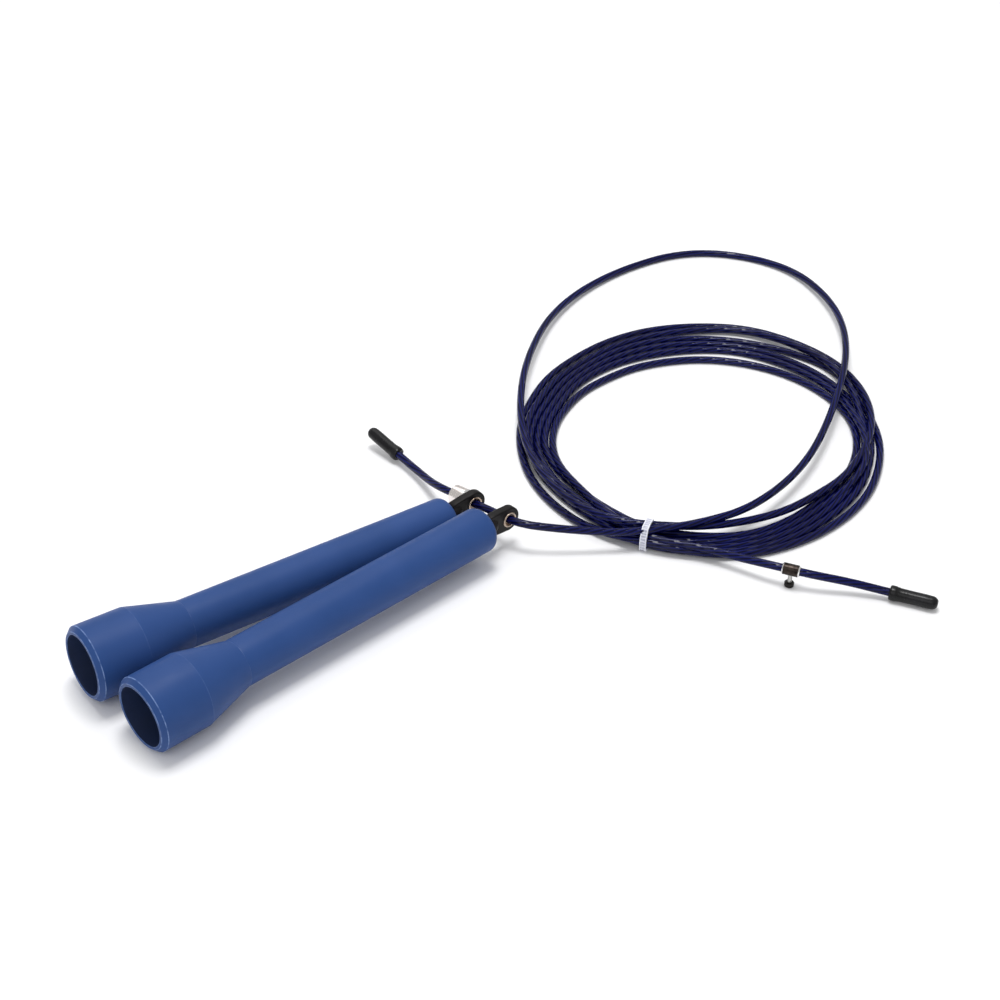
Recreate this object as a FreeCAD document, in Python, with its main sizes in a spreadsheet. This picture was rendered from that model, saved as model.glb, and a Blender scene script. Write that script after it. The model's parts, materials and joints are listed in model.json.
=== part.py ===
import FreeCAD, Part
import math
import os
import Sketcher

# A speed jump rope put away: two hollow plastic handles lie side by side, threaded by
# their swivel eyes on one end of a coated steel cable that is coiled and held by a tie.
# Frame: +X from the open butts to the eyes, +Y to the far handle, +Z up, floor at Z = 0.

DIMENSIONS = [
    ("handle_length", 160.0),        # butt face to nose face
    ("butt_radius", 14.4),
    ("butt_length", 20.4),           # cylinder at the open end
    ("cone_end", 40.6),              # where the cone meets the barrel
    ("barrel_radius", 9.15),
    ("rim_chamfer", 1.75),
    ("nose_rounding", 3.2),
    ("mouth_radius", 11.5),          # bore at the open end
    ("mouth_depth", 25.0),
    ("barrel_bore", 7.0),
    ("front_wall", 4.0),
    ("stem_hole", 4.1),              # radius of the hole the swivel stem runs in
    ("nose_offset", 9.75),           # half the distance between the two noses' axes
    ("spread_angle", 2.78),          # each handle's turn away from the middle line
    ("far_butt_x", -89.2),
    ("near_butt_x", -87.0),
    ("far_eye_lift", 1.1),
    ("far_eye_tilt", 7.8),
    ("near_eye_lift", -0.1),
    ("near_eye_tilt", -5.1),
    ("eye_reach", 14.0),             # middle of the front wall to the eyelet's axis
    ("paddle_start", 3.0),
    ("paddle_radius", 5.2),
    ("paddle_thickness", 3.6),
    ("paddle_edge", 0.5),
    ("neck_radius", 3.5),
    ("neck_end", 7.2),
    ("stem_radius", 2.5),
    ("stem_end", 3.2),               # how far the stem reaches behind the pivot
    ("pilot_radius", 1.1),
    ("pilot_depth", 8.0),
    ("eyelet_bore", 2.5),
    ("eyelet_wall", 0.3),
    ("flange_radius", 3.1),
    ("flange_thickness", 0.35),
    ("washer_radius", 5.5),
    ("washer_thickness", 0.8),
    ("screw_head_radius", 2.9),
    ("screw_head_height", 1.9),
    ("recess_width", 0.8),
    ("recess_length", 3.2),
    ("recess_depth", 1.1),
    ("cable_radius", 1.6),
    ("cap_radius", 2.65),
    ("cap_lip_radius", 2.95),
    ("cap_lip_length", 3.0),
    ("cap_length", 18.6),
    ("cap_bore_depth", 13.5),
    ("cap_rounding", 2.2),
    ("collar_bore", 1.75),
    ("collar_bevel", 0.45),
    ("left_collar_radius", 4.2),
    ("left_collar_length", 7.0),
    ("right_collar_radius", 2.35),
    ("right_collar_length", 7.0),
    ("grub_screw_radius", 1.3),
    ("grub_screw_reach", 4.6),       # from the cable's axis to the screw's outer end
    ("clamp_screw_radius", 0.85),
    ("clamp_screw_play", 0.05),      # between a screw and its collar's hole
    ("clamp_head_radius", 1.9),
    ("clamp_head_height", 1.8),
    ("clamp_head_gap", 3.6),         # bare shank between the right collar and its screw head
    ("coil_height", 7.0),
    ("coil_long_radius", 92.5),
    ("coil_short_radius", 78.0),
    ("coil_centre_x", 201.7),
    ("coil_centre_y", -1.1),
    ("coil_turn", 40.6),             # direction of the coil's long axis
    ("coil_hole_radius", 63.0),
    ("coil_hole_x", 196.1),
    ("coil_hole_y", -11.0),
    ("coil_edge", 2.2),
    ("waist_radius", 45.0),          # rounded hollow on the coil's inside, beside the tie
    ("waist_x", 170.1),
    ("waist_y", -20.3),
    ("tie_x", 127.3),
    ("tie_y", -45.5),
    ("tie_turn", -62.0),             # direction of the cables under the tie
    ("tie_inside_width", 9.9),
    ("tie_inside_height", 9.4),
    ("tie_thickness", 1.0),
    ("tie_width", 2.7),
    ("tie_head_length", 4.4),
    ("tie_head_height", 3.2),
    ("tie_head_width", 4.2),
]

# Routes of the cable where it is not coiled, as points in row order (mm).
LEAD_ROUTE = [
    (86.2, 76.8, 6.5),       # inside the left end cap
    (87.3, 61.5, 3.2),
    (84.9, 44.5, 4.9),
    (80.6, 25.2, 10.2),     # from here straight through the left stop collar and both eyes
    (85.6, -15.9, 13.5),     # just in front of the near eye
    (95.9, -25.6, 12.4),
    (106.2, -33.3, 10.9),
    (115.8, -40.8, 9.4),
    (126.8, -47.4, 8.3),     # under the tie, on top of the coil
]
LOOP_ROUTE = [
    (126.8, -47.4, 8.3),     # under the tie, where the lead ends
    (143.3, -57.6, 9.8),
    (167.8, -66.0, 11.2),
    (205.8, -60.5, 12.2),
    (248.8, -38.5, 12.4),    # over the right side of the coil
    (293.8, -7.0, 12.2),
    (331.8, 34.0, 6.2),
    (346.8, 78.0, 1.75),     # on the floor from here
    (318.3, 117.5, 1.7),
    (269.8, 126.0, 1.75),
    (220.8, 112.5, 4.6),
    (174.8, 80.5, 10.8),
    (142.8, 49.5, 12.3),     # over the left side of the coil
    (122.8, 20.0, 12.2),
    (115.3, -10.0, 11.2),
    (118.8, -31.0, 9.4),
    (129.7, -45.0, 8.2),     # under the tie, beside the start
]
TAIL_ROUTE = [
    (136.3, -62.0, 4.6),     # inside the coil's near edge
    (143.3, -77.0, 6.5),
    (147.8, -93.0, 8.0),     # the right stop collar sits between here and the next point
    (155.4, -106.6, 7.7),
    (165.6, -117.2, 5.4),
    (175.0, -129.6, 3.1),    # the right end cap's mouth
    (181.3, -141.7, 3.05),
]

TUBE_RUN_SHARE = 0.45        # of the shorter run, taken by each bend of the cable
LEFT_COLLAR_SHARE = 0.23    # how far along its run each collar sits
RIGHT_COLLAR_SHARE = 0.5
FLOOR_CLEARANCE = 0.01       # keeps resting surfaces just above the floor


class Length:
    """A size with the spreadsheet expression that gives it."""

    def __init__(self, value, text):
        self.value = value
        self.text = text

    def combine(self, other, sign, reverse=False):
        if not isinstance(other, Length):
            other = Length(other, repr(float(other)))
        first, second = (other, self) if reverse else (self, other)
        operations = {
            "+": first.value + second.value,
            "-": first.value - second.value,
            "*": first.value * second.value,
            "/": first.value / (second.value or 1.0),
        }
        return Length(operations[sign], "(%s) %s (%s)" % (first.text, sign, second.text))

    def __add__(self, other):
        return self.combine(other, "+")

    def __sub__(self, other):
        return self.combine(other, "-")

    def __mul__(self, other):
        return self.combine(other, "*")

    def __truediv__(self, other):
        return self.combine(other, "/")

    def __neg__(self):
        return self.combine(0.0, "-", reverse=True)


class Sizes:
    """The driving dimensions: one spreadsheet cell and one attribute each."""

    def __init__(self, document):
        self.sheet = document.addObject("Spreadsheet::Sheet", "Dimensions")
        for row, (alias, value) in enumerate(DIMENSIONS, start=1):
            cell = "B%d" % row
            self.sheet.set("A%d" % row, alias)
            self.sheet.set(cell, str(value))
            self.sheet.setAlias(cell, alias)
            setattr(self, alias, Length(value, "Dimensions." + alias))


doc = FreeCAD.newDocument("JumpRope")
size = Sizes(doc)
doc.recompute()

exported = []


# ---------------------------------------------------------------- drawing helpers

def new_body(label, placement):
    """An empty PartDesign body that will be exported as one node."""
    body = doc.addObject("PartDesign::Body", label)
    body.Label = label
    body.Placement = placement
    exported.append(body)
    return body


def new_sketch(body, name, role="XY_Plane"):
    """A sketch on one of the body's own origin planes."""
    plane = next(item for item in body.Origin.OriginFeatures if item.Role == role)
    sketch = body.newObject("Sketcher::SketchObject", name)
    sketch.AttachmentSupport = [(plane, "")]
    sketch.MapMode = "FlatFace"
    return sketch


def as_length(number):
    return number if isinstance(number, Length) else Length(float(number), None)


def pin_point(sketch, geometry, position, x, y):
    """Place a sketch point by distances from the origin, bound to the sheet."""
    for kind, axis, target in (("DistanceX", -2, as_length(x)), ("DistanceY", -1, as_length(y))):
        if target.text is None and target.value == 0.0:
            sketch.addConstraint(Sketcher.Constraint("PointOnObject", geometry, position, axis))
            continue
        constraint = Sketcher.Constraint(kind, -1, 1, geometry, position, target.value)
        index = sketch.addConstraint(constraint)
        if target.text is not None:
            sketch.setExpression("Constraints[%d]" % index, target.text)


def draw_outline(sketch, points):
    """A closed outline of straight lines through points whose sizes follow the sheet."""
    corners = [FreeCAD.Vector(as_length(x).value, as_length(y).value, 0) for x, y in points]
    first = sketch.GeometryCount
    count = len(corners)
    for index in range(count):
        sketch.addGeometry(Part.LineSegment(corners[index], corners[(index + 1) % count]))
    for index in range(count):
        following = first + (index + 1) % count
        sketch.addConstraint(Sketcher.Constraint("Coincident", first + index, 2, following, 1))
        pin_point(sketch, first + index, 1, *points[index])


def draw_circle(sketch, x, y, radius):
    """A circle whose centre and radius follow the sheet."""
    centre = FreeCAD.Vector(as_length(x).value, as_length(y).value, 0)
    circle = Part.Circle(centre, FreeCAD.Vector(0, 0, 1), radius.value)
    index = sketch.addGeometry(circle)
    pin_point(sketch, index, 3, x, y)
    constraint = sketch.addConstraint(Sketcher.Constraint("Radius", index, radius.value))
    sketch.setExpression("Constraints[%d]" % constraint, radius.text)


def lathe(body, name, points):
    """Turn an outline of (distance along X, radius) points about the body's X axis."""
    sketch = new_sketch(body, name + "_outline")
    draw_outline(sketch, points)
    turned = body.newObject("PartDesign::Revolution", name)
    turned.Profile = sketch
    turned.ReferenceAxis = (sketch, ["H_Axis"])
    turned.Angle = 360.0
    return turned


def pad(body, name, sketch, length, midplane=True):
    """Raise a sketch by a length from the sheet."""
    raised = body.newObject("PartDesign::Pad", name)
    raised.Profile = sketch
    raised.Midplane = midplane
    raised.Length = length.value
    raised.setExpression("Length", length.text)
    return raised


def cut_through(body, name, sketch, length):
    """Cut a sketch both ways out of the body, and make sure that material went."""
    doc.recompute()
    before = body.Shape.Volume
    pocket = body.newObject("PartDesign::Pocket", name)
    pocket.Profile = sketch
    pocket.Midplane = True
    pocket.Length = length.value
    pocket.setExpression("Length", length.text)
    doc.recompute()
    if not body.Shape.Volume < before - 1e-3:
        raise RuntimeError("%s cuts nothing" % name)
    return pocket


def edges_where(feature, wanted):
    """Names of the feature's edges that pass a test on the edge."""
    edges = feature.Shape.Edges
    return ["Edge%d" % (index + 1) for index, edge in enumerate(edges) if wanted(edge)]


def soften(body, name, kind, feature, wanted, amount):
    """A fillet or a chamfer on the chosen edges."""
    doc.recompute()
    dressed = body.newObject("PartDesign::" + kind, name)
    dressed.Base = (feature, edges_where(feature, wanted))
    field = "Radius" if kind == "Fillet" else "Size"
    setattr(dressed, field, amount.value)
    dressed.setExpression(field, amount.text)
    doc.recompute()
    return dressed


def ring_at(edge, x, radius):
    """True for a full circle of this radius about the X axis at this distance."""
    curve = edge.Curve
    if not isinstance(curve, Part.Circle):
        return False
    return abs(curve.Radius - radius) < 1e-4 and abs(curve.Center.x - x) < 1e-4


def frame_along(point, direction, side):
    """A placement at a point with X along a direction and Y near the given side."""
    along = FreeCAD.Vector(direction).normalize()
    up = along.cross(side).normalize()
    turn = FreeCAD.Rotation(along, up.cross(along), up, "XYZ")
    return FreeCAD.Placement(point, turn)


# ---------------------------------------------------------------- cable routes

class Route:
    """Straight runs joined by arcs that touch both, along hand-picked points."""

    def __init__(self, name, points):
        self.name = name
        self.points = [FreeCAD.Vector(*point) for point in points]
        self.radii = []
        self.wire = self.make_wire()

    def run_point(self, index, share):
        """A point part of the way along a run, where the cable is straight, and its direction."""
        start, end = self.points[index], self.points[index + 1]
        return start + (end - start) * share, (end - start).normalize()

    def make_wire(self):
        edges = []
        start = self.points[0]
        for before, corner, after in zip(self.points, self.points[1:], self.points[2:]):
            incoming = (corner - before).normalize()
            outgoing = (after - corner).normalize()
            half_turn = incoming.getAngle(outgoing) / 2
            reach = TUBE_RUN_SHARE * min((corner - before).Length, (after - corner).Length)
            self.radii.append(reach / math.tan(half_turn))
            entry, leave = corner - incoming * reach, corner + outgoing * reach
            towards_centre = (outgoing - incoming).normalize()
            centre = corner + towards_centre * (self.radii[-1] / math.cos(half_turn))
            middle = centre - towards_centre * self.radii[-1]
            edges.append(Part.LineSegment(start, entry).toShape())
            edges.append(Part.Arc(entry, middle, leave).toShape())
            start = leave
        edges.append(Part.LineSegment(start, self.points[-1]).toShape())
        return Part.Wire(edges)

    def make_tube(self, radius):
        """A round tube along the wire, with its volume checked against its length."""
        first = self.wire.Edges[0]
        direction = first.tangentAt(first.FirstParameter)
        circle = Part.Wire(Part.Circle(self.points[0], direction, radius).toShape())
        tube = self.wire.makePipeShell([circle], True, False)
        expected = math.pi * radius ** 2 * self.wire.Length
        print("%s: length %.1f mm, tightest radius %.1f mm, volume ratio %.4f"
              % (self.name, self.wire.Length, min(self.radii), tube.Volume / expected))
        return tube


def export_shape(label, shape):
    """A node whose shape is computed here rather than sketched."""
    feature = doc.addObject("Part::Feature", label)
    feature.Label = label
    feature.Shape = shape
    feature.Placement = FreeCAD.Placement()
    exported.append(feature)
    return feature


# ---------------------------------------------------------------- handles and swivels

def handle_placement(side, butt_x):
    """Far handle: rests on its butt and nose. Near handle: its nose is held up level."""
    nose_reach = size.handle_length.value - size.nose_rounding.value
    drop = size.butt_radius.value - size.barrel_radius.value
    tilt = 0.0
    if side > 0:
        tilt = math.atan2(drop, nose_reach - size.butt_length.value)
    height = size.butt_radius.value * math.cos(tilt) + size.butt_length.value * math.sin(tilt)
    spread = math.radians(size.spread_angle.value)
    butt_y = size.nose_offset.value + size.handle_length.value * math.sin(spread)
    corner = FreeCAD.Vector(butt_x.value, side * butt_y, height + FLOOR_CLEARANCE)
    turn = FreeCAD.Rotation(-side * size.spread_angle.value, math.degrees(tilt), 0)
    return FreeCAD.Placement(corner, turn)


def eye_placement(handle, lift, tilt):
    """The loose stem lets the eye sit off the handle's axis and lean up or down."""
    pivot = FreeCAD.Vector(size.handle_length.value - size.front_wall.value / 2, 0, lift.value)
    return handle.multiply(FreeCAD.Placement(pivot, FreeCAD.Rotation(0, -tilt.value, 0)))


def make_handle(label, placement):
    """Moulded grip, hollow from the open butt to the thin front wall."""
    body = new_body(label, placement)
    inner_front = size.handle_length - size.front_wall
    turned = lathe(body, label + "_turned", [
        (0, size.mouth_radius),
        (0, size.butt_radius - size.rim_chamfer),
        (size.rim_chamfer, size.butt_radius),
        (size.butt_length, size.butt_radius),
        (size.cone_end, size.barrel_radius),
        (size.handle_length, size.barrel_radius),
        (size.handle_length, size.stem_hole),
        (inner_front, size.stem_hole),
        (inner_front, size.barrel_bore),
        (size.cone_end, size.barrel_bore),
        (size.mouth_depth, size.mouth_radius),
    ])
    nose = (size.handle_length.value, size.barrel_radius.value)
    soften(body, label + "_nose", "Fillet", turned,
           lambda edge: ring_at(edge, *nose), size.nose_rounding)
    return body


def make_swivel_eye(label, placement):
    """Nylon swivel: a round stem and neck with a flat, round-ended eye."""
    body = new_body(label, placement)
    lathe(body, label + "_stem", [
        (-size.stem_end, size.pilot_radius),
        (-size.stem_end, size.stem_radius),
        (size.paddle_start, size.stem_radius),
        (size.paddle_start, size.neck_radius),
        (size.neck_end, size.neck_radius),
        (size.neck_end, 0),
        (size.pilot_depth - size.stem_end, 0),
        (size.pilot_depth - size.stem_end, size.pilot_radius),
    ])
    flat = new_sketch(body, label + "_flat", "XZ_Plane")
    draw_outline(flat, [
        (size.paddle_start, -size.paddle_radius),
        (size.eye_reach, -size.paddle_radius),
        (size.eye_reach, size.paddle_radius),
        (size.paddle_start, size.paddle_radius),
    ])
    pad(body, label + "_paddle", flat, size.paddle_thickness)
    tip = new_sketch(body, label + "_round", "XZ_Plane")
    draw_circle(tip, size.eye_reach, 0, size.paddle_radius)
    rounded = pad(body, label + "_tip", tip, size.paddle_thickness)
    half = size.paddle_thickness.value / 2
    behind_neck = size.neck_end.value + 0.1

    def outer_edge(edge):
        box = edge.BoundBox
        on_face = abs(abs(box.YMin) - half) < 1e-4 and box.YLength < 1e-4
        return on_face and box.XMax > behind_neck

    soften(body, label + "_edges", "Fillet", rounded, outer_edge, size.paddle_edge)
    # The pilot hole runs on into the paddle's solid root.
    pilot = new_sketch(body, label + "_pilot_outline")
    draw_outline(pilot, [
        (-size.stem_end, 0),
        (-size.stem_end, size.pilot_radius),
        (size.pilot_depth - size.stem_end, size.pilot_radius),
        (size.pilot_depth - size.stem_end, 0),
    ])
    bored = body.newObject("PartDesign::Groove", label + "_pilot")
    bored.Profile = pilot
    bored.ReferenceAxis = (pilot, ["H_Axis"])
    bored.Angle = 360.0
    hole = new_sketch(body, label + "_hole_outline", "XZ_Plane")
    draw_circle(hole, size.eye_reach, 0, size.eyelet_bore + size.eyelet_wall)
    cut_through(body, label + "_hole", hole, size.paddle_thickness * 2)
    return body


def make_eyelet(label, placement):
    """Rolled metal eyelet that lines the eye's hole."""
    across = FreeCAD.Placement(FreeCAD.Vector(size.eye_reach.value, 0, 0),
                               FreeCAD.Rotation(90, 0, 0))
    body = new_body(label, placement.multiply(across))
    half = size.paddle_thickness / 2
    rim = half + size.flange_thickness
    wall = size.eyelet_bore + size.eyelet_wall
    lathe(body, label + "_rolled", [
        (-rim, size.eyelet_bore),
        (-rim, size.flange_radius),
        (-half, size.flange_radius),
        (-half, wall),
        (half, wall),
        (half, size.flange_radius),
        (rim, size.flange_radius),
        (rim, size.eyelet_bore),
    ])
    return body


def make_washer(label, placement):
    """Steel washer that keeps the stem from pulling out of the front wall."""
    body = new_body(label, placement)
    lathe(body, label + "_disc", [
        (-size.stem_end - size.washer_thickness, size.pilot_radius),
        (-size.stem_end - size.washer_thickness, size.washer_radius),
        (-size.stem_end, size.washer_radius),
        (-size.stem_end, size.pilot_radius),
    ])
    return body


def make_swivel_screw(label, placement):
    """Pan-head screw driven into the stem from inside the handle."""
    body = new_body(label, placement)
    seat = -size.stem_end - size.washer_thickness
    top = seat - size.screw_head_height
    turned = lathe(body, label + "_turned", [
        (top, 0),
        (top, size.screw_head_radius),
        (seat, size.screw_head_radius),
        (seat, size.pilot_radius),
        (size.pilot_depth - size.stem_end, size.pilot_radius),
        (size.pilot_depth - size.stem_end, 0),
    ])
    rim = (top.value, size.screw_head_radius.value)
    soften(body, label + "_pan", "Fillet", turned,
           lambda edge: ring_at(edge, *rim), size.screw_head_height / 2)
    for name, role in (("upright", "XZ_Plane"), ("level", "XY_Plane")):
        slot = new_sketch(body, "%s_%s" % (label, name), role)
        draw_outline(slot, [
            (top - 1.0, -size.recess_length / 2),
            (top + size.recess_depth, -size.recess_length / 2),
            (top + size.recess_depth, size.recess_length / 2),
            (top - 1.0, size.recess_length / 2),
        ])
        cut_through(body, "%s_%s_slot" % (label, name), slot, size.recess_width)
    return body


# ---------------------------------------------------------------- pieces on the cable

def make_end_cap(label, placement):
    """Rubber cap pushed over the cable's cut end; X runs from its mouth to its tip."""
    body = new_body(label, placement)
    turned = lathe(body, label + "_moulded", [
        (0, size.cable_radius),
        (0, size.cap_lip_radius),
        (size.cap_lip_length, size.cap_lip_radius),
        (size.cap_lip_length + 0.8, size.cap_radius),
        (size.cap_length, size.cap_radius),
        (size.cap_length, 0),
        (size.cap_bore_depth, 0),
        (size.cap_bore_depth, size.cable_radius),
    ])
    tip = (size.cap_length.value, size.cap_radius.value)
    soften(body, label + "_tip", "Fillet", turned,
           lambda edge: ring_at(edge, *tip), size.cap_rounding)
    return body


def make_collar(label, placement, radius, length, screw_radius):
    """Turned stop collar with bevelled rims and one radial hole along Y for its screw."""
    body = new_body(label, placement)
    half = length / 2
    lathe(body, label + "_turned", [
        (-half, size.collar_bore),
        (-half, radius - size.collar_bevel),
        (-half + size.collar_bevel, radius),
        (half - size.collar_bevel, radius),
        (half, radius - size.collar_bevel),
        (half, size.collar_bore),
    ])
    hole = new_sketch(body, label + "_hole_outline", "XZ_Plane")
    draw_circle(hole, 0, 0, screw_radius + size.clamp_screw_play)
    doc.recompute()
    before = body.Shape.Volume
    drilled = body.newObject("PartDesign::Pocket", label + "_hole")
    drilled.Profile = hole
    drilled.Length = radius.value
    drilled.setExpression("Length", radius.text)
    doc.recompute()
    if not body.Shape.Volume < before - 1e-3:
        raise RuntimeError("%s has no screw hole" % label)
    return body


def make_grub_screw(label, placement):
    """Headless set screw that stands a little out of the left collar."""
    body = new_body(label, placement)
    lathe(body, label + "_turned", [
        (size.collar_bore, 0),
        (size.collar_bore, size.grub_screw_radius),
        (size.grub_screw_reach, size.grub_screw_radius),
        (size.grub_screw_reach, 0),
    ])
    return body


def make_clamp_screw(label, placement):
    """Socket-head clamp screw, standing out of the right collar."""
    body = new_body(label, placement)
    seat = size.right_collar_radius + size.clamp_head_gap
    top = seat + size.clamp_head_height
    turned = lathe(body, label + "_turned", [
        (size.collar_bore, 0),
        (size.collar_bore, size.clamp_screw_radius),
        (seat, size.clamp_screw_radius),
        (seat, size.clamp_head_radius),
        (top, size.clamp_head_radius),
        (top, 0),
    ])
    head = size.clamp_head_radius.value
    soften(body, label + "_rim", "Chamfer", turned,
           lambda edge: ring_at(edge, top.value, head) or ring_at(edge, seat.value, head),
           size.clamp_head_height / 8)
    return body


def make_coil_blank():
    """Outer shape of the coiled turns: an oval ring with an off-centre round hole."""
    label = "cable_coil_blank"
    body = doc.addObject("PartDesign::Body", label)
    centre = FreeCAD.Vector(size.coil_centre_x.value, size.coil_centre_y.value, 0)
    body.Placement = FreeCAD.Placement(centre, FreeCAD.Rotation(size.coil_turn.value, 0, 0))
    outline = new_sketch(body, label + "_outline")
    long_end = FreeCAD.Vector(size.coil_long_radius.value, 0, 0)
    short_end = FreeCAD.Vector(0, size.coil_short_radius.value, 0)
    oval = outline.addGeometry(Part.Ellipse(long_end, short_end, FreeCAD.Vector(0, 0, 0)))
    outline.exposeInternalGeometry(oval)
    raised = pad(body, label + "_pad", outline, size.coil_height, midplane=False)
    high = size.coil_height.value

    def rim(edge):
        box = edge.BoundBox
        return box.ZLength < 1e-4 and (box.ZMin > high - 1e-3 or box.ZMax < 1e-3)

    holes = (
        ("hole", size.coil_hole_x, size.coil_hole_y, size.coil_hole_radius),
        ("waist", size.waist_x, size.waist_y, size.waist_radius),
    )
    for name, x, y, radius in holes:
        there = body.Placement.inverse().multVec(FreeCAD.Vector(x.value, y.value, 0))
        sketch = new_sketch(body, "%s_%s" % (label, name))
        draw_circle(sketch, there.x, there.y, radius)
        raised = cut_through(body, "%s_%s_cut" % (label, name), sketch, size.coil_height * 3)
    soften(body, label + "_edge", "Chamfer", raised, rim, size.coil_edge)
    return body


def tie_placement():
    """X along the cables under the tie, Y across them, Z up."""
    corner = FreeCAD.Vector(size.tie_x.value, size.tie_y.value, FLOOR_CLEARANCE)
    return FreeCAD.Placement(corner, FreeCAD.Rotation(size.tie_turn.value, 0, 0))


def make_tie():
    """Cable tie: a band round the cables and its square head low on the coil's inside."""
    label = "cable_tie"
    body = new_body(label, tie_placement())
    strap = new_sketch(body, label + "_strap", "YZ_Plane")
    half = size.tie_inside_width / 2
    wall = size.tie_thickness
    roof = size.tie_inside_height + wall
    draw_outline(strap, [
        (-half - wall, 0),
        (half + wall, 0),
        (half + wall, roof + wall),
        (-half - wall, roof + wall),
    ])
    draw_outline(strap, [(-half, wall), (half, wall), (half, roof), (-half, roof)])
    band = pad(body, label + "_band", strap, size.tie_width)
    outside = half.value + wall.value

    def outer_corner(edge):
        box = edge.BoundBox
        along = box.XLength > size.tie_width.value - 0.1 and box.YLength < 1e-4
        return along and abs(abs(box.YMin) - outside) < 1e-3

    soften(body, label + "_corners", "Fillet", band, outer_corner, wall * 0.9)
    block = new_sketch(body, label + "_block", "YZ_Plane")
    low = size.tie_thickness * 0.6
    draw_outline(block, [
        (half + wall / 2, low),
        (half + size.tie_head_length, low),
        (half + size.tie_head_length, low + size.tie_head_height),
        (half + wall / 2, low + size.tie_head_height),
    ])
    pad(body, label + "_head", block, size.tie_head_width)
    return body


# ---------------------------------------------------------------- build

pairs = (
    ("far", 1, size.far_butt_x, size.far_eye_lift, size.far_eye_tilt),
    ("near", -1, size.near_butt_x, size.near_eye_lift, size.near_eye_tilt),
)
for name, side, butt_x, lift, tilt in pairs:
    at_handle = handle_placement(side, butt_x)
    at_eye = eye_placement(at_handle, lift, tilt)
    make_handle("handle_" + name, at_handle)
    make_swivel_eye("swivel_eye_" + name, at_eye)
    make_eyelet("eyelet_" + name, at_eye)
    make_washer("swivel_washer_" + name, at_eye)
    make_swivel_screw("swivel_screw_" + name, at_eye)

lead = Route("cable_lead", LEAD_ROUTE)
loop = Route("cable_loop", LOOP_ROUTE)
tail = Route("cable_tail", TAIL_ROUTE)
for route in (lead, loop, tail):
    export_shape(route.name, route.make_tube(size.cable_radius.value))

sideways = FreeCAD.Vector(1, 0, 0)
downwards = FreeCAD.Vector(0, 0, -1)
down_inside = FreeCAD.Vector(1, 0, -1)

ends = (
    ("end_cap_left", lead.points[0], lead.points[1]),
    ("end_cap_right", tail.points[-1], tail.points[-2]),
)
for label, tip, before in ends:
    outwards = (tip - before).normalize()
    mouth = tip - outwards * size.cap_bore_depth.value
    make_end_cap(label, frame_along(mouth, outwards, sideways))

left_point, left_direction = lead.run_point(3, LEFT_COLLAR_SHARE)
left_collar_frame = frame_along(left_point, left_direction, down_inside)
make_collar("stop_collar_left", left_collar_frame,
            size.left_collar_radius, size.left_collar_length, size.grub_screw_radius)
right_point, right_direction = tail.run_point(2, RIGHT_COLLAR_SHARE)
right_collar_frame = frame_along(right_point, right_direction, downwards)
make_collar("stop_collar_right", right_collar_frame,
            size.right_collar_radius, size.right_collar_length, size.clamp_screw_radius)
doc.recompute()

# Each screw stands on its collar's Y side, with its own X pointing out.
quarter = FreeCAD.Placement(FreeCAD.Vector(), FreeCAD.Rotation(90, 0, 0))
make_grub_screw("clamp_screw_left", left_collar_frame.multiply(quarter))
make_clamp_screw("clamp_screw_right", right_collar_frame.multiply(quarter))

tie = make_tie()
blank = make_coil_blank()
doc.recompute()

# The tie's band runs round the coil, so the coil gives way where the band passes.
coil = doc.addObject("Part::Cut", "cable_coil")
coil.Label = "cable_coil"
coil.Base = blank
coil.Tool = tie
coil.Placement = FreeCAD.Placement()
exported.append(coil)
doc.recompute()

# ---------------------------------------------------------------- check and export

for item in doc.Objects:
    if "Invalid" in item.State or "Error" in item.State:
        raise RuntimeError("%s did not build: %s" % (item.Name, item.State))
for item in exported:
    if item.Shape.isNull() or not item.Shape.isValid():
        raise RuntimeError("%s has a bad shape" % item.Label)

os.makedirs("parts", exist_ok=True)
for item in exported:
    item.Shape.exportStep(os.path.join("parts", item.Label + ".step"))
    print("%-20s %2d solid(s) %9.1f mm3" % (item.Label, len(item.Shape.Solids), item.Shape.Volume))
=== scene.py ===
"""Jump rope put away: two plastic handles threaded on a coiled, coated steel cable."""
import json
import math

import bmesh
import bpy
from mathutils import Matrix, Vector


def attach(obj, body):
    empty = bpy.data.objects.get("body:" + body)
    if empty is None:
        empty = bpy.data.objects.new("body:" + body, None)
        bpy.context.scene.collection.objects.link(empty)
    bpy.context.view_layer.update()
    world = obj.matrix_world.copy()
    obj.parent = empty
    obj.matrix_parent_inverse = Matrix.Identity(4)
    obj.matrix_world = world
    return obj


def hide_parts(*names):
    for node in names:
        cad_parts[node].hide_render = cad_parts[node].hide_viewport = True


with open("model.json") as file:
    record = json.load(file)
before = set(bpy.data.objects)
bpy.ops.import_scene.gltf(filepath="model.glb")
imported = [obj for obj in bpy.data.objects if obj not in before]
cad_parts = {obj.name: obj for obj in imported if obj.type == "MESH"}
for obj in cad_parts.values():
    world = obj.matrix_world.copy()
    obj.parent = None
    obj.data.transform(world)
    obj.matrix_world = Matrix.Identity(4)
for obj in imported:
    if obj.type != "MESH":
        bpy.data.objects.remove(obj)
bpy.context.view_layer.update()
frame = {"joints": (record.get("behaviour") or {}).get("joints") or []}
joints = {joint["name"]: joint for joint in frame["joints"]}
MM = 0.001


def mm(*values):
    """A vector given in mm, in metres."""
    return Vector(values) * MM


# ---------------------------------------------------------------- camera and stage

CAMERA_PLACE = (-290.0, -441.8, 434.8)     # mm
CAMERA_YAW = 40.636          # degrees from +Y towards +X
CAMERA_PITCH = 35.82         # degrees down from level
CAMERA_ROLL = 0.0079         # radians
FLOOR_EDGE = 6               # m from the origin


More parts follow.
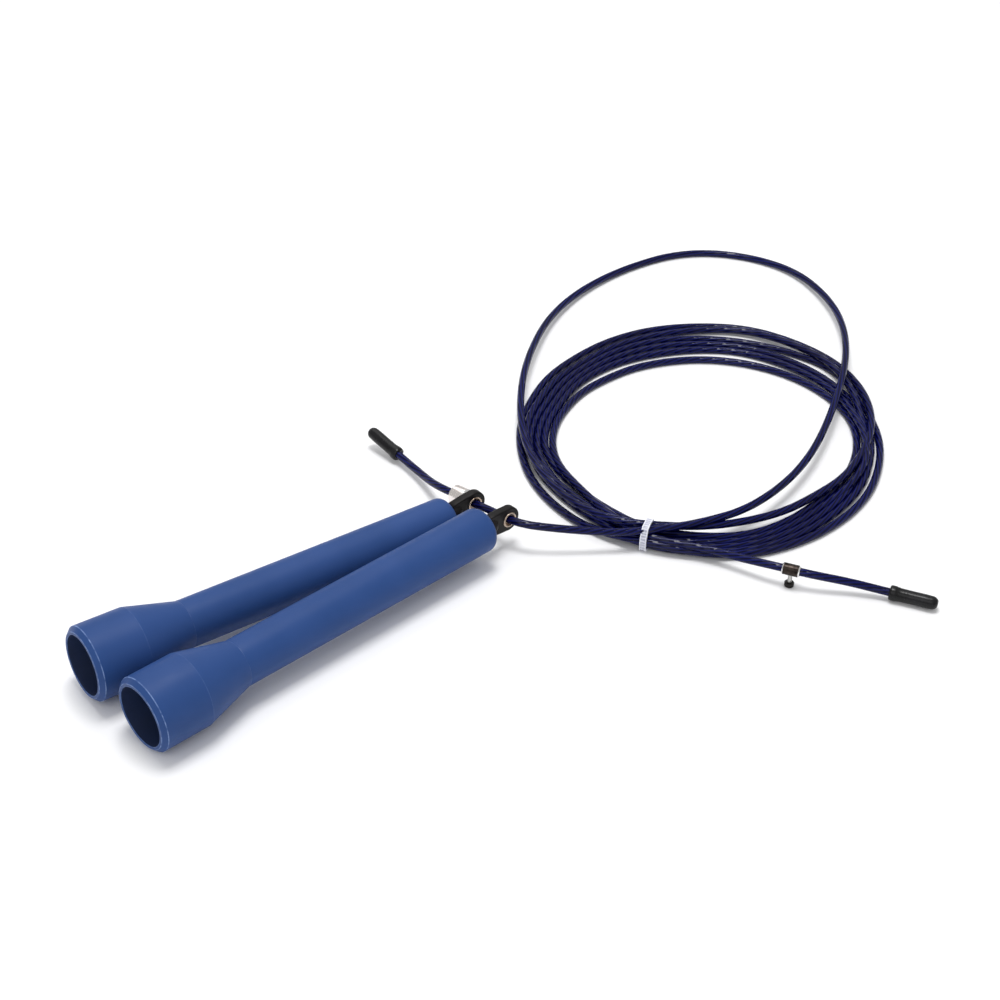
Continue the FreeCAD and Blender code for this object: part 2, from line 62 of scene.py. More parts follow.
def aim_camera():
    """Looks from the near left, down on the butts."""
    yaw, pitch, roll = math.radians(CAMERA_YAW), math.radians(CAMERA_PITCH), CAMERA_ROLL
    forward = Vector((math.sin(yaw) * math.cos(pitch), math.cos(yaw) * math.cos(pitch), -math.sin(pitch)))
    level = Vector((math.cos(yaw), -math.sin(yaw), 0))
    right = level * math.cos(roll) + level.cross(forward) * math.sin(roll)
    up = right.cross(forward)
    data = bpy.data.cameras.new("camera")
    data.lens, data.sensor_width = 64.8, 36.0
    data.clip_start, data.clip_end = 0.05, 20.0
    camera = bpy.data.objects.new("camera", data)
    turn = Matrix((right, up, -forward)).transposed().to_4x4()
    camera.matrix_world = Matrix.Translation(mm(*CAMERA_PLACE)) @ turn
    bpy.context.scene.collection.objects.link(camera)
    bpy.context.scene.camera = camera


def add_area(name, place, target, size, power):
    """A square area lamp that points at a target."""
    data = bpy.data.lights.new(name, "AREA")
    data.shape, data.size, data.energy = "SQUARE", size, power
    lamp = bpy.data.objects.new(name, data)
    lamp.location = place
    lamp.rotation_mode = "QUATERNION"
    lamp.rotation_quaternion = (Vector(target) - Vector(place)).to_track_quat("-Z", "Y")
    bpy.context.scene.collection.objects.link(lamp)


def build_stage():
    """Pale paper floor, white surroundings and three soft lamps."""
    mesh = bpy.data.meshes.new("floor")
    edge = FLOOR_EDGE
    corners = [(-edge, -edge, 0), (edge, -edge, 0), (edge, edge, 0), (-edge, edge, 0)]
    mesh.from_pydata(corners, [], [(0, 1, 2, 3)])
    floor = bpy.data.objects.new("floor", mesh)
    bpy.context.scene.collection.objects.link(floor)
    mesh.materials.append(new_material("floor_paper", (0.92, 0.92, 0.93), 0.8)[0])
    world = bpy.data.worlds.new("studio")
    world.use_nodes = True
    background = world.node_tree.nodes["Background"]
    background.inputs["Color"].default_value = (1, 1, 1, 1)
    background.inputs["Strength"].default_value = 0.55
    bpy.context.scene.world = world
    add_area("softbox", (0.12, 0.08, 1.3), (0.12, 0.0, 0.0), 0.45, 9.5)
    add_area("fill", (-0.9, -0.5, 1.0), (0.0, 0.0, 0.0), 1.0, 3.6)
    add_area("backlight", (0.7, 1.1, 1.5), (0.6, 0.9, 0.0), 1.5, 8.0)
    bpy.context.scene.view_settings.view_transform = "Standard"


# ---------------------------------------------------------------- materials

STRANDS = 7.0                # strands seen round the cable
STRAND_STEP = 0.008          # m along the cable in which the twist moves on by one strand

def new_material(name, colour, roughness, metallic=0.0):
    """A material with its shader node and its node tree."""
    material = bpy.data.materials.new(name)
    material.use_nodes = True
    tree = material.node_tree
    shader = tree.nodes["Principled BSDF"]
    shader.inputs["Base Color"].default_value = (*colour, 1)
    shader.inputs["Roughness"].default_value = roughness
    shader.inputs["Metallic"].default_value = metallic
    return material, shader, tree


def node(tree, kind, **settings):
    """A shader node with its settings and default inputs filled in."""
    made = tree.nodes.new("ShaderNode" + kind)
    for key, value in settings.items():
        if key in made.inputs:
            made.inputs[key].default_value = value
        else:
            setattr(made, key, value)
    return made


def noise(tree, scale, detail=4.0, vector=None, distortion=0.0):
    made = node(tree, "TexNoise", Scale=scale, Detail=detail, Distortion=distortion)
    if vector is None:
        vector = node(tree, "TexCoord").outputs["Object"]
    tree.links.new(vector, made.inputs["Vector"])
    return made.outputs["Fac"]


def ramp(tree, factor, stops):
    made = node(tree, "ValToRGB")
    elements = made.color_ramp.elements
    while len(elements) < len(stops):
        elements.new(0.5)
    for element, (place, colour) in zip(elements, stops):
        element.position = place
        element.color = (*colour, 1) if hasattr(colour, "__len__") else (colour, colour, colour, 1)
    tree.links.new(factor, made.inputs["Fac"])
    return made.outputs["Color"]


def blend(tree, factor, first, second):
    made = tree.nodes.new("ShaderNodeMix")
    made.data_type = "RGBA"
    tree.links.new(factor, made.inputs["Factor"])
    for socket, value in ((made.inputs[6], first), (made.inputs[7], second)):
        if hasattr(value, "links"):
            tree.links.new(value, socket)
        else:
            socket.default_value = (*value, 1)
    return made.outputs[2]


def math_node(tree, operation, first, second=None):
    made = node(tree, "Math", operation=operation)
    for socket, value in zip(made.inputs, (first, second)):
        if hasattr(value, "links"):
            tree.links.new(value, socket)
        elif value is not None:
            socket.default_value = value
    return made.outputs[0]


def bump(tree, shader, height, distance, strength=1.0, under=None):
    made = node(tree, "Bump", Strength=strength, Distance=distance)
    tree.links.new(height, made.inputs["Height"])
    if under is not None:
        tree.links.new(under, made.inputs["Normal"])
    tree.links.new(made.outputs["Normal"], shader.inputs["Normal"])
    return made.outputs["Normal"]


def handle_plastic():
    """Blue moulded plastic: faint flow clouds, fine satin grain, and paler edges that are partly scuffing and
    partly painted highlight.
    """
    material, shader, tree = new_material("handle_plastic", (0.04, 0.083, 0.25), 0.42)
    cloud = noise(tree, 38.0, 3.0)
    body = ramp(tree, cloud, [(0.35, (0.022, 0.06, 0.196)), (0.65, (0.026, 0.067, 0.216))])
    wear_and_highlight = node(tree, "Attribute", attribute_name="wear_and_highlight").outputs["Fac"]
    patchy = ramp(tree, noise(tree, 420.0, 6.0), [(0.38, 0.15), (0.6, 1.0)])
    # Paler rim and corner edges: partly wear, partly painted highlight where light catches the edges.
    edge = math_node(tree, "MULTIPLY", wear_and_highlight, patchy)
    colour = blend(tree, edge, body, (0.17, 0.26, 0.5))
    tree.links.new(colour, shader.inputs["Base Color"])
    gloss = ramp(tree, noise(tree, 160.0, 5.0), [(0.3, 0.36), (0.7, 0.5)])
    tree.links.new(gloss, shader.inputs["Roughness"])
    fine = noise(tree, 2600.0, 2.0)
    broad = noise(tree, 55.0, 2.0)
    first = bump(tree, shader, broad, 0.0006, 0.25)
    bump(tree, shader, fine, 0.00004, 0.5, first)
    shader.inputs["Specular IOR Level"].default_value = 0.14
    return material


def shaded_bore_plastic():
    """The handle's unlit inside: the same plastic painted darker as painted shade, with a coarser grain."""
    material, shader, tree = new_material("shaded_bore_plastic", (0.012, 0.022, 0.075), 0.6)
    body = ramp(tree, noise(tree, 90.0, 4.0), [(0.3, (0.006, 0.016, 0.058)), (0.7, (0.01, 0.024, 0.082))])
    tree.links.new(body, shader.inputs["Base Color"])
    bump(tree, shader, noise(tree, 1500.0, 3.0), 0.00006, 0.5)
    return material


def coated_cable(name, length):
    """Twisted dark blue steel strands under a clear, glossy coat, with painted shade in the grooves between
    them.
    """
    material, shader, tree = new_material(name, (0.012, 0.015, 0.09), 0.35)
    separate = node(tree, "SeparateXYZ")
    tree.links.new(node(tree, "TexCoord").outputs["UV"], separate.inputs[0])
    along = math_node(tree, "MULTIPLY", separate.outputs["X"], length / STRAND_STEP)
    around = math_node(tree, "MULTIPLY", separate.outputs["Y"], STRANDS)
    phase = math_node(tree, "MULTIPLY", math_node(tree, "ADD", along, around), 2 * math.pi)
    wave = math_node(tree, "SINE", phase)
    height = math_node(tree, "MULTIPLY_ADD", wave, 0.5)
    height.node.inputs[2].default_value = 0.5
    # Grooves between the strands are painted near black: painted shade; the strands' crowns keep the cable's
    # blue.
    groove_shaded_tint = ramp(tree, height, [(0.1, (0.001, 0.001, 0.012)), (0.75, (0.005, 0.008, 0.085))])
    grey = ramp(tree, noise(tree, 30.0, 3.0), [(0.4, 0.0), (0.75, 0.55)])
    colour = blend(tree, grey, groove_shaded_tint, (0.007, 0.006, 0.018))
    tree.links.new(colour, shader.inputs["Base Color"])
    strands = bump(tree, shader, height, 0.00014, 0.6)
    tree.links.new(strands, shader.inputs["Coat Normal"])
    shader.inputs["Specular IOR Level"].default_value = 0.0
    shader.inputs["Coat Weight"].default_value = 0.5
    shader.inputs["Coat IOR"].default_value = 1.4
    shader.inputs["Coat Roughness"].default_value = 0.07
    shader.inputs["Coat Tint"].default_value = (0.86, 0.86, 1.0, 1)
    return material


def black_nylon():
    """Dull black nylon with a fine moulded grain."""
    material, shader, tree = new_material("black_nylon", (0.016, 0.014, 0.017), 0.42)
    grain = noise(tree, 260.0, 4.0)
    body = ramp(tree, grain, [(0.35, (0.004, 0.0035, 0.0035)), (0.7, (0.011, 0.009, 0.01))])
    tree.links.new(body, shader.inputs["Base Color"])
    shader.inputs["Specular IOR Level"].default_value = 0.16
    bump(tree, shader, noise(tree, 900.0, 4.0), 0.00012, 0.5)
    return material


def black_rubber():
    """Black rubber with an uneven gloss."""
    material, shader, tree = new_material("black_rubber", (0.02, 0.02, 0.022), 0.35)
    cloud = noise(tree, 180.0, 4.0)
    body = ramp(tree, cloud, [(0.35, (0.004, 0.004, 0.0045)), (0.7, (0.011, 0.011, 0.013))])
    tree.links.new(body, shader.inputs["Base Color"])
    gloss = ramp(tree, noise(tree, 320.0, 3.0), [(0.3, 0.18), (0.7, 0.32)])
    tree.links.new(gloss, shader.inputs["Roughness"])
    shader.inputs["Specular IOR Level"].default_value = 0.22
    bump(tree, shader, noise(tree, 1400.0, 3.0), 0.00006, 0.6)
    return material


def metal(name, colour, stain, roughness, stain_share=0.35):
    """Turned metal: fine tool marks and patches of tarnish."""
    material, shader, tree = new_material(name, colour, roughness, 1.0)
    cloud = noise(tree, 330.0, 5.0)
    patches = ramp(tree, cloud, [(1 - stain_share - 0.15, 0.0), (1 - stain_share + 0.1, 1.0)])
    tree.links.new(blend(tree, patches, colour, stain), shader.inputs["Base Color"])
    marks = noise(tree, 1800.0, 3.0)
    worn = ramp(tree, marks, [(0.3, roughness * 0.8), (0.7, roughness * 1.5)])
    tree.links.new(worn, shader.inputs["Roughness"])
    bump(tree, shader, marks, 0.00003, 0.4)
    return material


def white_nylon():
    """Milky, slightly see-through nylon whose ribs and rails are painted paler: painted highlight on the
    raised parts.
    """
    material, shader, tree = new_material("white_nylon", (0.55, 0.56, 0.64), 0.35)
    wear_and_highlight = node(tree, "Attribute", attribute_name="wear_and_highlight").outputs["Fac"]
    cloudy = ramp(tree, noise(tree, 500.0, 3.0), [(0.3, (0.4, 0.41, 0.5)), (0.7, (0.55, 0.56, 0.66))])
    # Raised ribs and rails turn paler: painted highlight.
    tree.links.new(blend(tree, wear_and_highlight, cloudy, (0.82, 0.83, 0.9)), shader.inputs["Base Color"])
    shader.inputs["Subsurface Weight"].default_value = 0.25
    shader.inputs["Subsurface Radius"].default_value = (0.0008, 0.0008, 0.001)
    bump(tree, shader, noise(tree, 2500.0, 2.0), 0.00003, 0.4)
    return material


# ---------------------------------------------------------------- mesh helpers

def place_frame(origin, along, side):
    """A matrix with X along a direction and Y close to a side direction."""
    x = Vector(along).normalized()
    z = x.cross(Vector(side)).normalized()
    y = z.cross(x)
    turn = Matrix((x, y, z)).transposed().to_4x4()
    return Matrix.Translation(origin) @ turn


def bridge(build, first, second):
    """A closed band of faces between two rings that have as many points."""
    count = len(first)
    for step in range(count):
        after_it = (step + 1) % count
        build.faces.new((first[step], first[after_it], second[after_it], second[step]))


def close_build(build, mesh):
    """Turns the faces outwards and stores the build in its mesh."""
    bmesh.ops.recalc_face_normals(build, faces=build.faces)
    build.to_mesh(mesh)
    build.free()


def finish_mesh(name, mesh, matrix, materials, body, smooth=True):
    """Puts a mesh in its place as a piece of the scene, on its body and in its slot."""
    for material in materials:
        mesh.materials.append(material)
    mesh.transform(matrix)
    if smooth:
        for polygon in mesh.polygons:
            polygon.use_smooth = True
    made = bpy.data.objects.new(name, mesh)
    bpy.context.scene.collection.objects.link(made)
    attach(made, body)
    return made


def rounded(points, radius, steps=4):
    """An outline of (x, radius, paleness) with an arc at each corner; the paleness, partly wear and partly
    painted highlight, stays on the arcs.
    """
    smooth = [(points[0][0], points[0][1], 0.0)]
    for before_it, corner, after_it in zip(points, points[1:], points[2:]):
        p, q, r = (Vector(item[:2]) for item in (before_it, corner, after_it))
        reach = min(radius, (p - q).length * 0.24, (r - q).length * 0.24)
        start, end = q + (p - q).normalized() * reach, q + (r - q).normalized() * reach
        # The corner's paleness: partly wear, partly painted highlight.
        worn = corner[2] if len(corner) > 2 else 0.0
        if worn:
            smooth.append((*(start * 2 - q), 0.0))
        for step in range(steps + 1):
            t = step / steps
            smooth.append((*start.lerp(q, t).lerp(q.lerp(end, t), t), worn))
        if worn:
            smooth.append((*(end * 2 - q), 0.0))
    smooth.append((points[-1][0], points[-1][1], 0.0))
    return smooth


def hexagon(angle):
    """The share of its radius at which a hexagon's side lies in this direction."""
    sixth = math.pi / 3
    return math.cos(sixth / 2) / math.cos(angle % sixth - sixth / 2)


def lathe(name, points, matrix, materials, body, segments=72, outside=None, closed=False,
          hex_below=0.0):
    """Turns an outline in mm about X. Rings not in the outside range take the second material,
    and rings smaller than hex_below become hexagons."""
    mesh = bpy.data.meshes.new(name)
    build = bmesh.new()
    # Per-vertex paleness for the materials: partly wear, partly painted highlight.
    wear_and_highlight = build.verts.layers.float.new("wear_and_highlight")
    rings = []
    for item in points:
        ring = []
        turns = 1 if item[1] < 1e-6 else segments
        for step in range(turns):
            angle = 2 * math.pi * step / segments
            radius = item[1] * (hexagon(angle) if item[1] < hex_below else 1.0)
            vert = build.verts.new(mm(item[0], radius * math.cos(angle), radius * math.sin(angle)))
            vert[wear_and_highlight] = item[2] if len(item) > 2 else 0.0
            ring.append(vert)
        rings.append(ring)
    pairs = list(zip(rings, rings[1:]))
    if closed:
        pairs.append((rings[-1], rings[0]))
    for index, (first, second) in enumerate(pairs):
        for step in range(segments):
            corners = []
            for vert in (first[step % len(first)], first[(step + 1) % len(first)],
                         second[(step + 1) % len(second)], second[step % len(second)]):
                if vert not in corners:
                    corners.append(vert)
            if len(corners) > 2:
                face = build.faces.new(corners)
                if outside and index not in outside:
                    face.material_index = 1
    close_build(build, mesh)
    return finish_mesh(name, mesh, matrix, materials, body)


# ---------------------------------------------------------------- cords

# Points of the cable where it is not coiled, in mm.
LEFT_END = [
    (84.8, -9.2, 12.98), (83.9, -1.9, 12.4), (82.5, 9.2, 11.45), (81.3, 19.5, 10.7), (80.7, 25.6, 10.0),
    (82.0, 34.0, 7.6), (84.9, 44.5, 4.6), (87.3, 61.5, 3.3), (86.2, 76.8, 6.5),
]
BIG_LOOP = [
    (84.8, -9.2, 12.98), (85.6, -15.6, 13.3), (95.9, -25.4, 11.8), (106.2, -33.5, 10.2),
    (115.8, -40.8, 9.0), (126.8, -47.4, 8.8), (144.1, -56.7, 8.9), (170.1, -63.3, 8.6), (210.0, -55.7, 7.6),
    (252.8, -33.9, 8.0), (297.2, -4.0, 8.4), (328.8, 33.0, 4.6), (342.8, 76.6, 1.7), (318.3, 117.5, 1.7),
    (269.8, 126.0, 1.75), (220.6, 114.9, 3.6), (174.6, 82.9, 7.6), (142.2, 50.0, 8.6), (122.8, 20.0, 8.6),
    (115.3, -10.0, 8.8), (118.8, -31.0, 8.9),
]
RIGHT_END = [
    (138.9, -67.8, 5.6), (143.6, -80.4, 6.2), (147.8, -93.0, 8.0), (155.4, -106.6, 7.7), (165.6, -117.2, 5.4),
    (175.0, -129.6, 3.1), (181.3, -141.7, 3.05),
]
CABLE_RADIUS = 1.6
COIL_CENTRE = (199.4, -3.0)
# Directions round the coil in degrees from +X, of which the first is where the tie sits, and for
# each turn the distance from the coil's centre and the height (mm) of the cable there.
DIRECTIONS = [-150, -135, -120, -90, -60, -30, 0, 30, 60, 90, 120, 150, 180, 195]
TURNS = [
    [(81.4, 8.7), (75.8, 7.0), (70.8, 5.3), (66.8, 4.8), (69.6, 4.5), (78.0, 4.9), (88.0, 3.0),
     (93.8, 1.6), (87.8, 1.6), (79.2, 1.6), (75.6, 1.7), (78.0, 1.6), (83.6, 1.6), (86.4, 2.0)],
    [(87.6, 5.2), (87.9, 2.8), (87.6, 1.8), (82.4, 1.6), (78.4, 1.6), (77.7, 1.6), (84.5, 1.6),
     (81.0, 1.6), (77.6, 1.6), (70.8, 1.6), (68.7, 1.6), (74.2, 1.6), (77.0, 1.6), (80.0, 1.7)],
    [(86.9, 2.65), (86.0, 1.8), (85.0, 1.6), (77.7, 1.6), (74.2, 1.6), (74.4, 1.6), (76.0, 1.6),
     (76.5, 1.6), (72.3, 1.6), (67.5, 1.6), (65.4, 1.6), (71.0, 1.6), (73.8, 1.6), (76.8, 1.7)],
    [(83.7, 2.65), (83.0, 1.8), (81.8, 1.6), (74.4, 1.6), (71.0, 1.6), (72.7, 4.5), (84.0, 4.8),
     (90.4, 2.6), (82.4, 1.6), (74.1, 1.6), (72.0, 2.4), (75.6, 4.4), (75.4, 4.4), (79.0, 4.4)],
    [(80.4, 2.65), (79.8, 1.8), (78.6, 1.6), (71.1, 1.7), (73.2, 4.5), (69.4, 4.8), (71.5, 2.0),
     (72.0, 1.6), (66.5, 1.6), (64.2, 1.6), (62.6, 1.6), (67.8, 1.6), (68.6, 1.6), (71.8, 2.4)],
    [(80.4, 5.7), (77.5, 3.2), (75.4, 1.7), (67.8, 1.6), (67.8, 1.6), (68.9, 1.6), (66.0, 1.6),
     (62.4, 1.6), (58.8, 1.6), (57.0, 1.6), (59.2, 1.6), (64.2, 1.7), (70.0, 4.7), (78.0, 7.3)],
]
COIL_STEP = 15                       # degrees between the coil's control points
LAST_DIRECTION = (86.9, 5.9)         # distance and height where the last turn passes the tie


def coil_points():
    """Six lying turns that cross, fan out on the right and gather at the tie."""
    stations = []
    for turn, row in enumerate(TURNS):
        for direction, (distance, height) in zip(DIRECTIONS, row):
            stations.append((direction + 360 * turn, distance, height))
    stations.append((DIRECTIONS[0] + 360 * len(TURNS), *LAST_DIRECTION))
    widen = 1 / math.cos(math.radians(COIL_STEP / 2))
    points = []
    for (start, r0, z0), (end, r1, z1) in zip(stations, stations[1:]):
        for direction in range(start, end, COIL_STEP):
            share = (direction - start) / (end - start)
            distance = (r0 + (r1 - r0) * share) * widen
            angle = math.radians(direction)
            points.append((COIL_CENTRE[0] + distance * math.cos(angle),
                           COIL_CENTRE[1] + distance * math.sin(angle), z0 + (z1 - z0) * share))
    angle = math.radians(DIRECTIONS[0])
    distance, height = LAST_DIRECTION
    points.append((COIL_CENTRE[0] + distance * math.cos(angle),
                   COIL_CENTRE[1] + distance * math.sin(angle), height))
    return points


def make_cable(name, points, material):
    """One open NURBS spline, bevelled to the cable's real thickness."""
    curve = bpy.data.curves.new(name, "CURVE")
    curve.dimensions = "3D"
    spline = curve.splines.new("NURBS")
    spline.points.add(len(points) - 1)
    for control, point in zip(spline.points, points):
        control.co = (*mm(*point), 1.0)
    spline.order_u = 3
    spline.use_endpoint_u = True
    spline.resolution_u = 10
    spline.use_smooth = True
    curve.bevel_depth = CABLE_RADIUS * MM
    curve.bevel_resolution = 8
    curve.use_fill_caps = True
    curve.materials.append(material)
    made = bpy.data.objects.new(name, curve)
    bpy.context.scene.collection.objects.link(made)
    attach(made, "rope")
    return made


# ---------------------------------------------------------------- pieces

# The handle, in mm from its open butt.
HANDLE_LENGTH = 160.0
BUTT_RADIUS, BUTT_LENGTH = 14.4, 20.4
BARREL_RADIUS, BARREL_START = 9.15, 41.0
MOUTH_RADIUS, MOUTH_DEPTH = 11.5, 25.0
BORE_RADIUS, BORE_START = 7.0, 40.6
FRONT_WALL = 4.0             # thickness of the wall that holds the swivel
STEM_HOLE = 4.1              # radius of the hole through it
NOSE_ROUND = 3.2
BAND = 4.0                   # long stretches of the outline are cut into bands of about this length

# The swivel eye, in mm.
EYE_REACH = 14.0             # from the middle of the handle's front wall to the eyelet
PADDLE = 5.2                 # radius of the eye's rounded end
PADDLE_HALF = 1.8            # half its thickness
PADDLE_STEPS = 28
EYELET_RADIUS = 2.85         # radius of the hole that the eyelet lines
EYELET_ROLL = 0.42           # radius of the eyelet's curled rim

# The rubber cap and the clamp screws, in mm.
CAP_DEPTH = 13.5             # how far the cable reaches into a cap
CAP_TIP_START = 16.1         # where the rounded tip starts
CAP_TIP_LENGTH = 2.5
CAP_TIP_RADIUS = 2.6
SCREW_FOOT = 1.75            # from the cable's axis to a clamp screw's inner end
THREAD_PITCH = 0.3
THREAD_TURNS = 13

# The cable tie, in mm. The strands are (x, height) across the bundle.
TIE_PLACE = (127.3, -45.5, 0)
TIE_TURN = -62               # degrees about Z
TIE_STRANDS = [(-3.3, 2.65), (3.3, 2.65), (-3.3, 5.75), (3.3, 5.75), (-1.9, 8.65), (1.7, 8.85)]
TIE_INSIDE = 1.62            # from a strand's middle to the strap
TIE_DIRECTIONS = 240
STRAP_STEP = 0.1             # between two rings of the strap
RIB_PITCH = 1.15
RIB_HEIGHT = 0.2
RIB_SHARE = 0.45             # share of the pitch that a rib fills


def divided(outline, length):
    """The outline with its long stretches cut into bands of about this length."""
    dense = [outline[0]]
    for start, end in zip(outline, outline[1:]):
        count = max(1, int(math.hypot(end[0] - start[0], end[1] - start[1]) / length))
        for step in range(1, count + 1):
            dense.append(tuple(a + (b - a) * step / count for a, b in zip(start, end)))
    return dense


def build_handle(side):
    """Moulded grip, hollow from the open butt, with a bevelled rim and a rounded nose."""
    joint = joints[side + "_handle_spin"]
    axis = Vector(joint["axis"])
    butt = Vector(joint["pos_m"]) - axis * HANDLE_LENGTH * MM
    matrix = place_frame(butt, axis, (0, 1, 0))
    wall = HANDLE_LENGTH - FRONT_WALL
    # The third numbers paint the rim's edges and two corners paler: partly wear, partly painted highlight.
    outline = rounded([
        (MOUTH_DEPTH, MOUTH_RADIUS), (0.0, MOUTH_RADIUS, 0.5), (0.0, 12.65, 0.85), (1.75, BUTT_RADIUS, 1.0),
        (BUTT_LENGTH, BUTT_RADIUS, 0.12), (40.4, 9.19), (40.7, 9.07, 0.2), (BARREL_START, BARREL_RADIUS),
        (HANDLE_LENGTH, BARREL_RADIUS), (HANDLE_LENGTH, STEM_HOLE), (wall, STEM_HOLE), (wall, BORE_RADIUS),
        (BORE_START, BORE_RADIUS), (MOUTH_DEPTH, MOUTH_RADIUS),
    ], 0.12, 3)
    nose = []
    for step in range(11):
        angle = math.radians(9 * step)
        nose.append((HANDLE_LENGTH - NOSE_ROUND * (1 - math.sin(angle)),
                     BARREL_RADIUS - NOSE_ROUND * (1 - math.cos(angle)), 0.0))
    # The small arc at the front corner gives way to the nose's large round.
    corner = [abs(x - HANDLE_LENGTH) < 0.5 and radius > 8.5 for x, radius, _ in outline]
    first = corner.index(True)
    dense = divided(outline[:first] + nose + outline[first + sum(corner):], BAND)
    mouth = next(i for i, point in enumerate(dense) if point[0] < 0.3)
    hole = next(i for i, point in enumerate(dense) if point[0] > HANDLE_LENGTH - 0.1 and point[1] < 4.3)
    # The inside faces take the darker material: painted shade.
    made = lathe("handle_%s_shell" % side, dense, matrix, [plastic, shaded_bore], side + "_handle",
                 segments=112, outside=range(mouth, hole))
    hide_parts("handle_" + side)


def eye_matrix(side):
    """X along the stem and Y along the eyelet's hole, from the handle's front wall."""
    swing, spin = joints[side + "_handle_swing"], joints[side + "_handle_spin"]
    lean = math.radians(7.8 if side == "far" else -5.1)
    axis = Vector(spin["axis"])
    hole = Vector(swing["axis"])
    along = Matrix.Rotation(-lean, 3, hole) @ axis
    along = (along - hole * along.dot(hole)).normalized()
    origin = Vector(swing["pos_m"]) - along * EYE_REACH * MM
    return place_frame(origin, along, hole)


def build_paddle(side, matrix, body):
    """The eye's flat end: a rounded plate with softened edges and a round hole."""
    mesh = bpy.data.meshes.new("swivel_paddle_" + side)
    build = bmesh.new()
    outline = []
    for step in range(PADDLE_STEPS + 1):
        angle = math.radians(-98 + 196 * step / PADDLE_STEPS)
        outline.append((EYE_REACH + PADDLE * math.cos(angle), PADDLE * math.sin(angle)))
    outline += [(9.0, 5.1), (6.0, 4.8), (3.4, 4.5), (3.0, 3.9),
                (3.0, -3.9), (3.4, -4.5), (6.0, -4.8), (9.0, -5.1)]
    levels = ((-PADDLE_HALF, 0.55), (-1.62, 0.16), (-1.3, 0.0),
              (1.3, 0.0), (1.62, 0.16), (PADDLE_HALF, 0.55))
    rings = []
    for y, inset in levels:
        ring = []
        for x, z in outline:
            offset = Vector((x - 10.0, z * 1.6)).normalized() * inset
            ring.append(build.verts.new(mm(x - offset.x, y, z - offset.y)))
        rings.append(ring)
    for first, second in zip(rings, rings[1:]):
        bridge(build, first, second)
    for ring, y in ((rings[0], -PADDLE_HALF), (rings[-1], PADDLE_HALF)):
        inner = []
        for vert in ring:
            toward = Vector((vert.co.x / MM - EYE_REACH, vert.co.z / MM)).normalized() * EYELET_RADIUS
            inner.append(build.verts.new(mm(EYE_REACH + toward.x, y, toward.y)))
        bridge(build, ring, inner)
    close_build(build, mesh)
    paddle = finish_mesh("swivel_paddle_" + side, mesh, matrix, [nylon], body, smooth=False)
    for face in paddle.data.polygons:
        face.use_smooth = abs((matrix.inverted().to_3x3() @ face.normal).y) < 0.9


def build_eyelet(side, matrix, body):
    """Metal ring that lines the eye's hole and is rolled over both faces."""
    across = place_frame(matrix @ mm(EYE_REACH, 0, 0), matrix.to_3x3() @ Vector((0, 1, 0)),
                         matrix.to_3x3() @ Vector((1, 0, 0)))
    ring = []
    for step in range(21):
        angle = math.pi * step / 20
        ring.append((-PADDLE_HALF - EYELET_ROLL * math.sin(angle),
                     EYELET_RADIUS + EYELET_ROLL * math.cos(angle)))
    barrel = [(-1.4, 2.45), (1.4, 2.45)]
    flip = [(-x, r) for x, r in reversed(ring)]
    eyelet = lathe("eyelet_%s_rolled" % side, ring + barrel + flip, across, [bronze], body,
                   48, closed=True)
    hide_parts("eyelet_" + side)


def build_retainer(side, matrix, body):
    """Washer and screw inside the handle, which keep the stem from pulling out."""
    washer = lathe("washer_" + side, rounded([(-4.0, 1.15), (-4.0, 5.5), (-3.2, 5.5), (-3.2, 1.15)], 0.15),
                   matrix, [zinc], body, 48, closed=True)
    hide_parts("swivel_washer_" + side)
    outline = [(-4.9, 0), (-4.9, 1.0), (-5.7, 1.05), (-5.85, 1.9), (-5.5, 2.6), (-4.9, 2.88), (-4.02, 2.9),
               (-4.02, 1.1), (4.0, 1.1), (4.8, 0)]
    screw = lathe("swivel_screw_head_" + side, outline, matrix, [zinc], body, 36)
    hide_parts("swivel_screw_" + side)


def build_eye(side):
    """Nylon swivel: round stem, thick neck and a flat eye, with its metal parts."""
    matrix = eye_matrix(side)
    body = side + "_swivel"
    stem = rounded([(-3.2, 0), (-3.2, 2.5), (2.6, 2.5), (3.0, 3.7), (5.6, 3.6), (7.4, 2.6), (7.4, 0)], 0.4)
    made = lathe("swivel_stem_" + side, stem, matrix, [nylon], body, 40)
    build_paddle(side, matrix, body)
    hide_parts("swivel_eye_" + side)
    build_eyelet(side, matrix, body)
    build_retainer(side, matrix, body)


def build_cap(name, tip, before_it, node_name):
    """Rubber end cap with a soft lip, a slightly waisted body and a rounded tip."""
    along = (Vector(tip) - Vector(before_it)).normalized()
    matrix = place_frame(mm(*tip) - along * CAP_DEPTH * MM, along, (1, 0, 0))
    outline = [(0.6, 1.62), (0.0, 1.75), (-0.05, 2.4), (0.25, 2.85), (0.9, 3.0), (2.1, 3.0), (3.1, 2.8),
               (4.2, 2.66), (7.5, 2.62), (11.0, 2.64), (14.0, 2.66), (CAP_TIP_START, CAP_TIP_RADIUS)]
    for step in range(1, 9):
        angle = math.radians(90 * step / 8)
        radius = CAP_TIP_RADIUS * (0.25 + 0.75 * math.cos(angle)) if step < 8 else 0.0
        outline.append((CAP_TIP_START + CAP_TIP_LENGTH * math.sin(angle), radius))
    made = lathe(name, rounded(outline, 0.4, 2), matrix, [rubber], "rope", 48)
    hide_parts(node_name)
    return made


